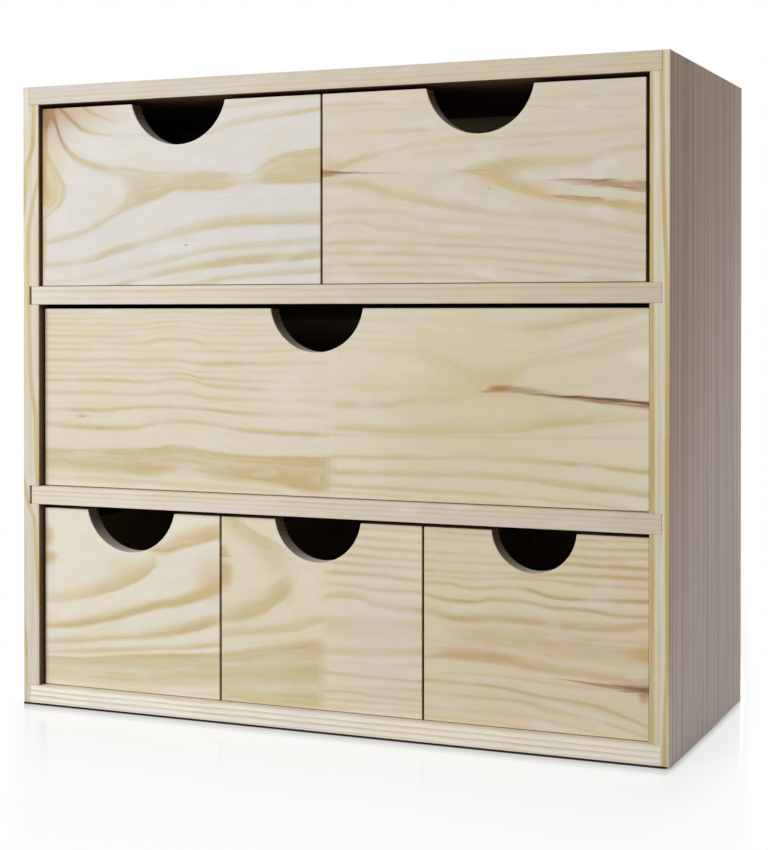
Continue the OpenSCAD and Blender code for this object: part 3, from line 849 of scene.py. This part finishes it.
# %% Outer faces with a painted tone of shade and light
# Painted shade at the front and top of a side's outer face, and paler painted light toward the back and
# bottom.
shaded_front_tone = paint(161, 126, 102)
lit_back_tone = paint(237, 222, 214)
shaded_ring_tone = paint(150, 118, 98)
tone_start, tone_full, tone_share = 0.35, 0.1, 0.9
front_fade = 1.0
paler_slope, paler_height, paler_start, paler_full = 0.8, 165.0, -150.0, 90.0
stripe_size, stripe_detail = (500, 2.2, 1), 0.6
ring_tone, dark_stripe, pale_stripe = 0.5, 4.6, -3.0


def painted_side_tone(finish, colour, dark, face, place):
    """Darkens a side board outside the depth face with painted shade, and leaves its front edge alone.
    The shade is deepest at the front and top and gives way to paler painted light toward the back and
    bottom;
    the stripes in it are grain.
    """
    along, across, deep = place
    skin = abs(deep).step(face - tone_start, face - tone_full)
    skin = skin * across.step(case_front, case_front + front_fade)
    lit_share = (across - (along - paler_height) * paler_slope).step(paler_start, paler_full)
    tone = finish.mixed(shaded_front_tone, lit_back_tone, lit_share)
    stripes = finish.noise((along, across, 0.0), stripe_size, rich, stripe_detail) - 0.5
    tone = finish.mixed(tone, shaded_ring_tone, dark * ring_tone + (stripes * dark_stripe).at_least(0.0))
    tone = finish.mixed(tone, lit_back_tone, (stripes * pale_stripe).at_least(0.0))
    return finish.mixed(colour, tone, skin * tone_share)


# %% Straight pine
sway_size, wobble_size, wobble_share = (130, 40, 40), (26, 7, 7), 0.5
summer_start, summer_full, summer_stop = 0.35, 0.92, 0.94
vigour_share, least_vigour = 0.7, 0.3
fibre_flat = 0.3
ring_uneven, fine_tone, broad_tone = 0.8, 0.35, 0.35
vein_core, vein_uneven = 0.3, 2
board_slow_shade = 0.1


def straight_pine(
        name, turn, pith, ring, spring, summer, unshaded_range=None, far=None, veins=(), toned_face=None,
        strength=0.7, drift=4.0, patches=1.0):
    """Wood with circular rings round a pith at (across, deep) in mm, each ring mm wide.

    The range of thickness given after summer has no painted shade: behind the front edge, the rest gets a
    brown painted shade.
    far is the spring wood's colour at the board's other end. veins are lines along the board, each with
    its places, width, stain and amount. The depth of a side board's outer face, given after veins, starts
    its painted tone of shade and light. strength is that of the rings, drift is how far in mm they sway,
    and patches is how strong the mottling is.
    """
    finish = Finish(bpy.data.materials.new(name))
    place = grain_space(finish, (0, 0, 0), turn, (1, 1, 1))
    along, across, deep = place
    if far:
        spring = finish.mixed(spring, far, along.step(-outer_face, outer_face))
    sway = (finish.noise(place, sway_size, plain) - 0.5) * drift
    aside = across - pith[0] + sway
    down = deep - pith[1] + sway
    distance = (aside * aside + down * down).root()
    year = distance / ring + (finish.noise(place, wobble_size) - 0.5) * wobble_share
    count = year.math("FLOOR", year)
    season = year - count
    vigour = finish.node("ShaderNodeTexWhiteNoise", {"noise_dimensions": "1D"}, {"W": count})
    dark = season.step(summer_start, summer_full) * season.step(1.0, summer_stop)
    dark = dark * (vigour * vigour_share + least_vigour)
    fine, broad, slow = fibres(finish, along, distance, across * fibre_flat)
    dark = dark * (broad * ring_uneven + 1) * strength + fine * fine_tone + broad * broad_tone
    colour = finish.mixed(spring, summer, dark)
    colour = mottled(finish, colour, along, distance, across * fibre_flat, patches)
    for places, width, stain, amount in veins:
        vein = (abs(deep - follow(finish, along, places, tiny)) / width).step(1.0, vein_core)
        colour = finish.mixed(colour, stains[stain], vein * (broad * vein_uneven + 1) * amount)
    # Side boards get their painted tone of shade and light on the outer face.
    if toned_face:
        colour = painted_side_tone(finish, colour, dark, toned_face, place)
    colour = finish.scaled(colour, fine * fine_shade + slow * board_slow_shade + 1)
    # Behind the front edge, the thickness outside that range gets a brown painted shade.
    if unshaded_range:
        outside = (unshaded_range[0] - deep).step(-shade_skin, 0.0)
        outside = outside.at_least((deep - unshaded_range[1]).step(-shade_skin, 0.0))
        behind = across.step(case_front, case_front + edge_left_unshaded)
        colour = finish.mixed(colour, inner_shade_brown, outside * behind * inner_shade_share)
    return wood_surface(finish, colour, dark, place)


# %% Mix the case and box boards
tan = paint(184, 160, 118)
olive = paint(184, 170, 132)
left_veins = [
    ({240: -166.5, 255: -164, 268: -163, 274: -161, 280: -159.2, 299: -158.4, 309: -158.2},
     2.1, "vein", 0.7),
    ({95: -154.6, 111: -157, 141: -157.8, 161: -160.6, 191: -161.9, 211: -162.6, 236: -162,
      245: -160, 254: -158.4, 262: -156, 270: -154}, 1.8, "vein", 0.65),
    ({120: -168, 150: -164.6, 190: -163.6, 230: -164.6, 245: -168}, 1.8, "straw", 0.5),
    ({40: -154.6, 60: -156.6, 73: -157.5, 91: -158.6, 98: -161.7, 108: -164.2, 120: -167.5},
     1.7, "vein", 0.6),
    ({-1: -163.7, 14: -163.4, 26: -163.6, 41: -165.2, 55: -168}, 1.6, "vein", 0.6),
]
right_veins = [
    ({-1: 157.5, 190: 157.3, 215: 156.7, 309: 156.5}, 1.7, "vein", 0.85),
    ({-1: 162.9, 20: 163.2, 62: 164.1, 111: 163.8, 161: 164, 206: 163.7, 235: 162.6,
      298: 161.5, 309: 161.4}, 1.5, "vein", 0.9),
]
case_woods = {}
for node, pith, ring, spring, veins, strength in (
        ("left_side", (-60, -260), 4.2, paint(201, 194, 178), left_veins, 0.7),
        ("right_side", (-150, -60), 4.5, paint(206, 198, 178), right_veins, 0.9)):
    case_woods[node] = straight_pine(
        node + "_pine", "ZYX", pith, ring, spring, tan, unshaded_part(node, "x"),
        veins=veins, toned_face=outer_face, strength=strength)
for node, pith, ring, spring, summer, far, patches in (
        ("top_panel", (-30, 240), 2.0, paint(194, 187, 176), tan, paint(190, 178, 155), 0.6),
        ("bottom_panel", (20, -60), 1.5, paint(233, 228, 215), olive, paint(228, 219, 204), 1.0),
        ("upper_shelf", (40, 120), 2.0, paint(208, 201, 188), tan, paint(192, 178, 157), 1.0),
        ("lower_shelf", (-30, 40), 1.8, paint(214, 205, 190), tan, paint(196, 183, 167), 1.0)):
    case_woods[node] = straight_pine(
        node + "_pine", "XYZ", pith, ring, spring, summer, unshaded_part(node, "z"),
        far=far, drift=1.5, patches=patches)
# The boxes' pine is darker than the case's, partly as painted shade, so that the insides seen through the
# notches stay dark.
inside, inside_ring, inside_patches = paint(170, 148, 118), paint(142, 116, 84), 0.2
box_side_wood = straight_pine(
    "box_side_pine", "YZX", (90, 40), 3.6, inside, inside_ring, patches=inside_patches)
box_back_wood = straight_pine(
    "box_back_pine", "XZY", (150, 140), 3.8, inside, inside_ring, patches=inside_patches)
print(len(case_woods), "woods for the case and 2 for the boxes")

# %% [markdown]
# ## Plywood and steel
#
# The back and the drawer bottoms are three-ply board: a peeled face shows wide, wandering figure, and
# the edge shows a darker core between two pale skins. The pins are plain bright steel wire.

# %% Plywood and pin steel
bands = 9
sweep_size, band_size, sheet_fibre = (120, 28, 1), (1 / bands, 60, 400), (16, 0.6, 0.6)
sheet_pale, sheet_tan, sheet_core = paint(188, 168, 136), paint(162, 136, 98), paint(176, 148, 108)
band_rise, band_tone, sheet_fine = 0.3, 1.6, 0.3
core_rim, core_full, core_share, core_shine = 0.24, 0.18, 0.7, 0.2
steel_dark, steel_light = paint(168, 168, 166), paint(196, 196, 194)
grind_scale, least_rough, rough_range = 2500.0, 0.22, 0.25


def plywood(name, turn, thickness, middle):
    """Three plies; turn names the axes along the face grain, across it and through the board."""
    finish = Finish(bpy.data.materials.new(name))
    place = grain_space(finish, (0, 0, 0), turn, (1, 1, 1))
    along, across, deep = place
    sweep = finish.noise((along, across, 0.0), sweep_size)
    band = finish.noise((sweep, across, along), band_size) - 0.5
    fine = finish.noise(place, sheet_fibre, rich) - 0.5
    core = abs(deep - middle).step(thickness * core_rim, thickness * core_full)
    colour = finish.mixed(sheet_pale, sheet_tan, band * band_tone + band_rise + fine * sheet_fine)
    colour = finish.mixed(colour, sheet_core, core * core_share)
    return wood_surface(finish, colour, core * core_shine, place)


def pin_steel():
    finish = Finish(bpy.data.materials.new("pin_steel"))
    place = finish.node("ShaderNodeTexCoord", None, (), output="Object")
    grind = finish.node("ShaderNodeTexNoise", None, {"Vector": place, "Scale": grind_scale})
    sockets = {
        "Base Color": finish.mixed(steel_dark, steel_light, grind),
        "Metallic": 1.0,
        "Roughness": grind * rough_range + least_rough,
    }
    return finish.surface(finish.node("ShaderNodeBsdfPrincipled", None, sockets))


back_low, back_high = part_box("back_panel")
sheet_thickness = 3.0
back_wood = plywood("back_plywood", "XZY", sheet_thickness, (back_low.y + back_high.y) / 2 / mm)
pin_metal = pin_steel()
print("mixed", back_wood.name, "and", pin_metal.name)

# %% [markdown]
# ## Boards with softened edges
#
# A planed board never has a knife edge: its corners are rubbed with sandpaper, and they catch a thin
# line of light. Each board is copied from its CAD solid, its loose triangles are welded into whole
# faces, and a round bevel is run along the corners that stick out. Corners that go in, such as
# those of a housing, stay sharp, because the next board sits in them.

# %% Soften a board
weld = 1e-6
flat_angle = math.radians(0.6)
corner_angle = math.radians(35)
shortest_edge = 0.9 * mm
arris_steps = 3


def softened(node, name, arris, finish, body):
    """The CAD solid of node with its outward corners rounded by arris metres, as a new piece."""
    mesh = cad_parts[node].data.copy()
    board = bmesh.new()
    board.from_mesh(mesh)
    bmesh.ops.remove_doubles(board, verts=board.verts, dist=weld)
    bmesh.ops.dissolve_limit(board, angle_limit=flat_angle, verts=board.verts, edges=board.edges)
    corners = [
        edge for edge in board.edges
        if edge.is_convex and edge.calc_face_angle() > corner_angle
        and edge.calc_length() > shortest_edge
    ]
    if arris:
        bmesh.ops.bevel(
            board, geom=corners, offset=arris, offset_type="OFFSET", affect="EDGES",
            segments=arris_steps, profile=0.5, material=-1, clamp_overlap=True)
    for face in board.faces:
        face.smooth = True
    board.to_mesh(mesh)
    board.free()
    mesh.set_sharp_from_angle(angle=corner_angle)
    mesh.materials.clear()
    mesh.materials.append(finish)
    piece = bpy.data.objects.new(name, mesh)
    bpy.context.scene.collection.objects.link(piece)
    even = piece.modifiers.new("even shading", "WEIGHTED_NORMAL")
    even.keep_sharp = True
    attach(piece, body)
    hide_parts(node)
    return piece


# %% The case
case_arris = 0.3 * mm
sheet_arris = 0.2 * mm
for node, wood in case_woods.items():
    board = softened(node, node + "_board", case_arris, wood, "case")
    print(board.name, len(board.data.polygons), "faces")
softened("back_panel", "back_panel_sheet", sheet_arris, back_wood, "case")
softened("back_pins", "back_pin_row", 0, pin_metal, "case")

# %% The drawers
box_arris = 0.4 * mm
for row, wood in front_woods.items():
    drawer = row + "_drawer"
    softened(drawer + "_front", drawer + "_front_board", box_arris, wood, drawer)
    for side in ("left_side", "right_side"):
        node = f"{drawer}_{side}"
        softened(node, node + "_board", box_arris, box_side_wood, drawer)
    softened(drawer + "_back", drawer + "_back_board", box_arris, box_back_wood, drawer)
    low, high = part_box(drawer + "_bottom")
    sheet = plywood(row + "_bottom_plywood", "XYZ", sheet_thickness, (low.z + high.z) / 2 / mm)
    softened(drawer + "_bottom", drawer + "_bottom_sheet", sheet_arris, sheet, drawer)
print(len(front_woods), "drawers, each with a front, two sides, a back and a bottom")

# %% [markdown]
# ## Floor and light
#
# The chest stands in a plain pale studio on white paper with a slight sheen. To the camera the paper
# is white, so that only the shade and the reflection close to the chest are left of it.
# A lamp this broad can't draw the narrow shade at the foot of the case, so the paper is toned there.
# For the light that bounces up the paper is grey, so that it doesn't wash out the shaded parts.

# %% Floor
white, black = paint(255, 255, 255), paint(0, 0, 0)
bounce_grey, paper_white = paint(165, 163, 160), paint(252, 248, 251)
left_slant, right_slant = 0.69, 0.21
near_weight, beside_weight = 4, 60  # one step beside the case counts as this many in front of it
contact_start, contact_full, contact_share = 4.5, 2.2, 0.86
right_end, right_drop = 0.002, 0.6
shade_reach, shade_share, back_drop = 19.0, 0.48, 0.5
paper_start, paper_full, paper_share = 500.0, 60.0, 0.09
sheen_reach, sheen_share, sheen_roughness = 150.0, 0.14, 0.1
floor_size = 12.0


def studio_floor():
    """White paper. Its shade lies in front of the case's foot and ends quickly beside it."""
    finish = Finish(bpy.data.materials.new("floor_paper"))
    place = finish.node("ShaderNodeTexCoord", None, (), output="Object")
    x, y = [finish.node("ShaderNodeSeparateXYZ", None, (place,), output=axis) for axis in "XY"]
    foot = cad_box[1]
    left_of_case = (-x - foot[0] + (-y - foot[1]).at_least(0.0) * left_slant).at_least(0.0)
    right_of_case = (x - foot[0] + (y - foot[1]) * right_slant).at_least(0.0)
    beside = (x - foot[0]).at_least(0.0) * near_weight + (left_of_case + right_of_case) * beside_weight
    beside = beside / mm
    before = (abs(y) - foot[1]).at_least(0.0) / mm
    away = (beside * beside + before * before).root()
    contact = contact_share - x.step(foot[0] - right_end, foot[0]) * right_drop
    contact = away.step(contact_start, contact_full) * contact
    shade = away.step(shade_reach, 0.0) * shade_share
    shade = (shade + contact).at_most(1.0) * (1 - y.step(0.0, foot[1]) * back_drop)
    seen = finish.rays("Is Camera Ray", "Is Glossy Ray")
    dull = finish.node("ShaderNodeBsdfDiffuse", None, {"Color": bounce_grey})
    paper = finish.node("ShaderNodeBsdfDiffuse", None, {"Color": paper_white})
    white_light = finish.node("ShaderNodeEmission", None, {"Color": white, "Strength": 1.0})
    shadow = finish.node("ShaderNodeEmission", None, {"Color": black, "Strength": 0.0})
    sheen = finish.node("ShaderNodeBsdfGlossy", None, {"Color": white, "Roughness": sheen_roughness})
    look = finish.mix_shaders(shade, white_light, shadow)
    paper_shows = away.step(paper_start, paper_full) * (1 - contact) * paper_share
    look = finish.mix_shaders(paper_shows, look, paper)
    sheen_shows = away.step(sheen_reach, 0.0) * (1 - contact) * sheen_share
    look = finish.mix_shaders(sheen_shows, look, sheen)
    return finish.surface(finish.mix_shaders(seen, dull, look))


paper = bmesh.new()
bmesh.ops.create_grid(paper, x_segments=1, y_segments=1, size=floor_size)
floor_mesh = bpy.data.meshes.new("floor")
paper.to_mesh(floor_mesh)
paper.free()
floor_mesh.materials.append(studio_floor())
floor = bpy.data.objects.new("floor", floor_mesh)
bpy.context.scene.collection.objects.link(floor)
print("the floor reaches", floor_size, "m each way")

# %% Lamps and sky
def lamp(name, place, target, size, power):
    """A square soft box of size metres and power watts that faces target."""
    light = bpy.data.lights.new(name, "AREA")
    light.size = size
    light.energy = power
    box = bpy.data.objects.new(name, light)
    box.location = place
    box.rotation_euler = (Vector(target) - Vector(place)).to_track_quat("-Z", "Y").to_euler()
    bpy.context.scene.collection.objects.link(box)
    print(name, "lamp:", power, "W")


lamp("key", place=(-0.8, -1.5, 0.75), target=(0, 0, 0.15), size=1.0, power=34)
lamp("side", place=(1.5, 0.35, 0.45), target=(0.15, 0, 0.15), size=0.8, power=4.4)
lamp("back", place=(-0.5, 1.6, 0.8), target=(0, 0, 0.15), size=1.0, power=12)

fill = 0.12
sky = bpy.data.worlds.new("studio")
bpy.context.scene.world = sky
room = Finish(sky)
seen = room.rays("Is Camera Ray", "Is Glossy Ray", "Is Transmission Ray")
dim = room.node("ShaderNodeBackground", None, {"Color": white, "Strength": fill})
white_room = room.node("ShaderNodeBackground", None, {"Color": white, "Strength": 1.0})
room.surface(room.mix_shaders(seen, dim, white_room), "World")
